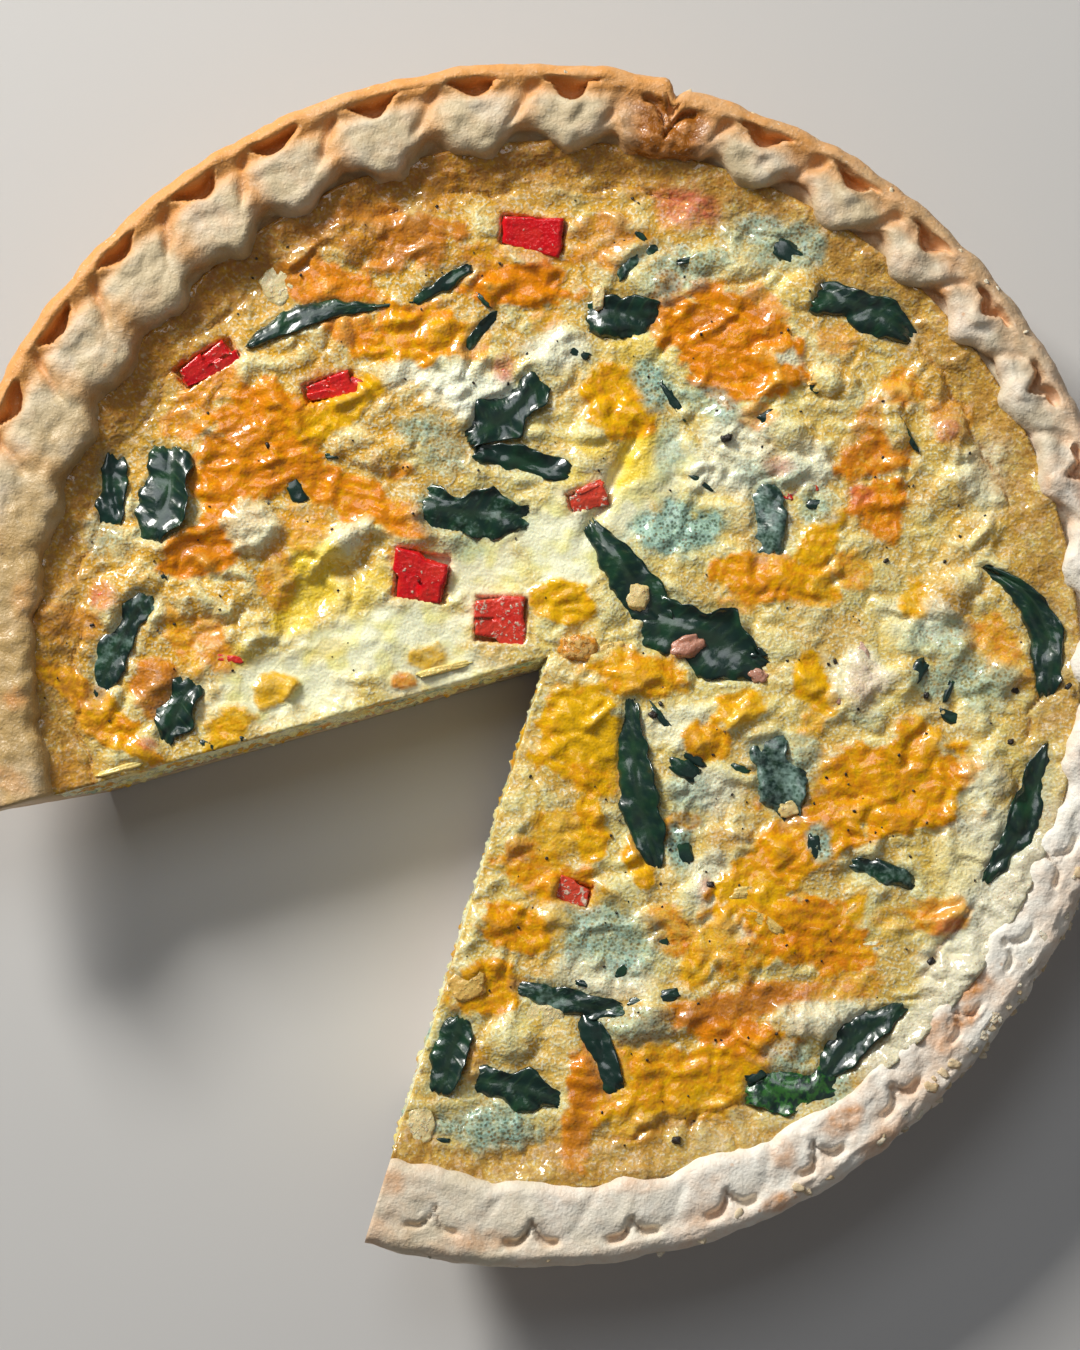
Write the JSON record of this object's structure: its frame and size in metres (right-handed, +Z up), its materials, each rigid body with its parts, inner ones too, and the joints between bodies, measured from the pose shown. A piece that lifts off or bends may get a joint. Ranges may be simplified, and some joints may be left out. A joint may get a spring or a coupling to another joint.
{
  "type": "quiche",
  "caption": "Round baked egg quiche in a crimped pastry shell, with ham, spinach leaves, melted cheese and red pepper dice, and one slice taken out.",
  "frame": {"origin": "middle of the round pastry shell, on the surface that its flat base stands on", "axes": "+Z up; +Y away from the camera in the reference view; the slice is missing towards -X -Y"},
  "size_m": [0.245, 0.245, 0.035],
  "materials": {
    "pastry": "dry baked pastry, pale cream with golden edges",
    "ham": "moist cooked ham",
    "egg": "moist baked egg with melted cheese and toasted foam",
    "spinach": "wet cooked leaf",
    "red_pepper": "wet cooked pepper skin"
  },
  "bodies": {
    "root": {"crust": "pastry", "crimped_rim": "pastry", "ham_layer": "ham", "filling": "egg", "spinach_01": "spinach", "spinach_02": "spinach", "spinach_03": "spinach", "spinach_04": "spinach", "spinach_05": "spinach", "spinach_06": "spinach", "spinach_07": "spinach", "spinach_08": "spinach", "spinach_09": "spinach", "spinach_10": "spinach", "spinach_11": "spinach", "spinach_12": "spinach", "spinach_13": "spinach", "spinach_14": "spinach", "spinach_15": "spinach", "spinach_16": "spinach", "spinach_17": "spinach", "spinach_18": "spinach", "spinach_19": "spinach", "spinach_20": "spinach", "spinach_21": "spinach", "spinach_22": "spinach", "spinach_23": "spinach", "spinach_24": "spinach", "spinach_25": "spinach", "spinach_26": "spinach", "spinach_27": "spinach", "pepper_1": "red_pepper", "pepper_2": "red_pepper", "pepper_3": "red_pepper", "pepper_4": "red_pepper", "pepper_5": "red_pepper", "pepper_6": "red_pepper", "pepper_7": "red_pepper"}
  },
  "joints": []
}
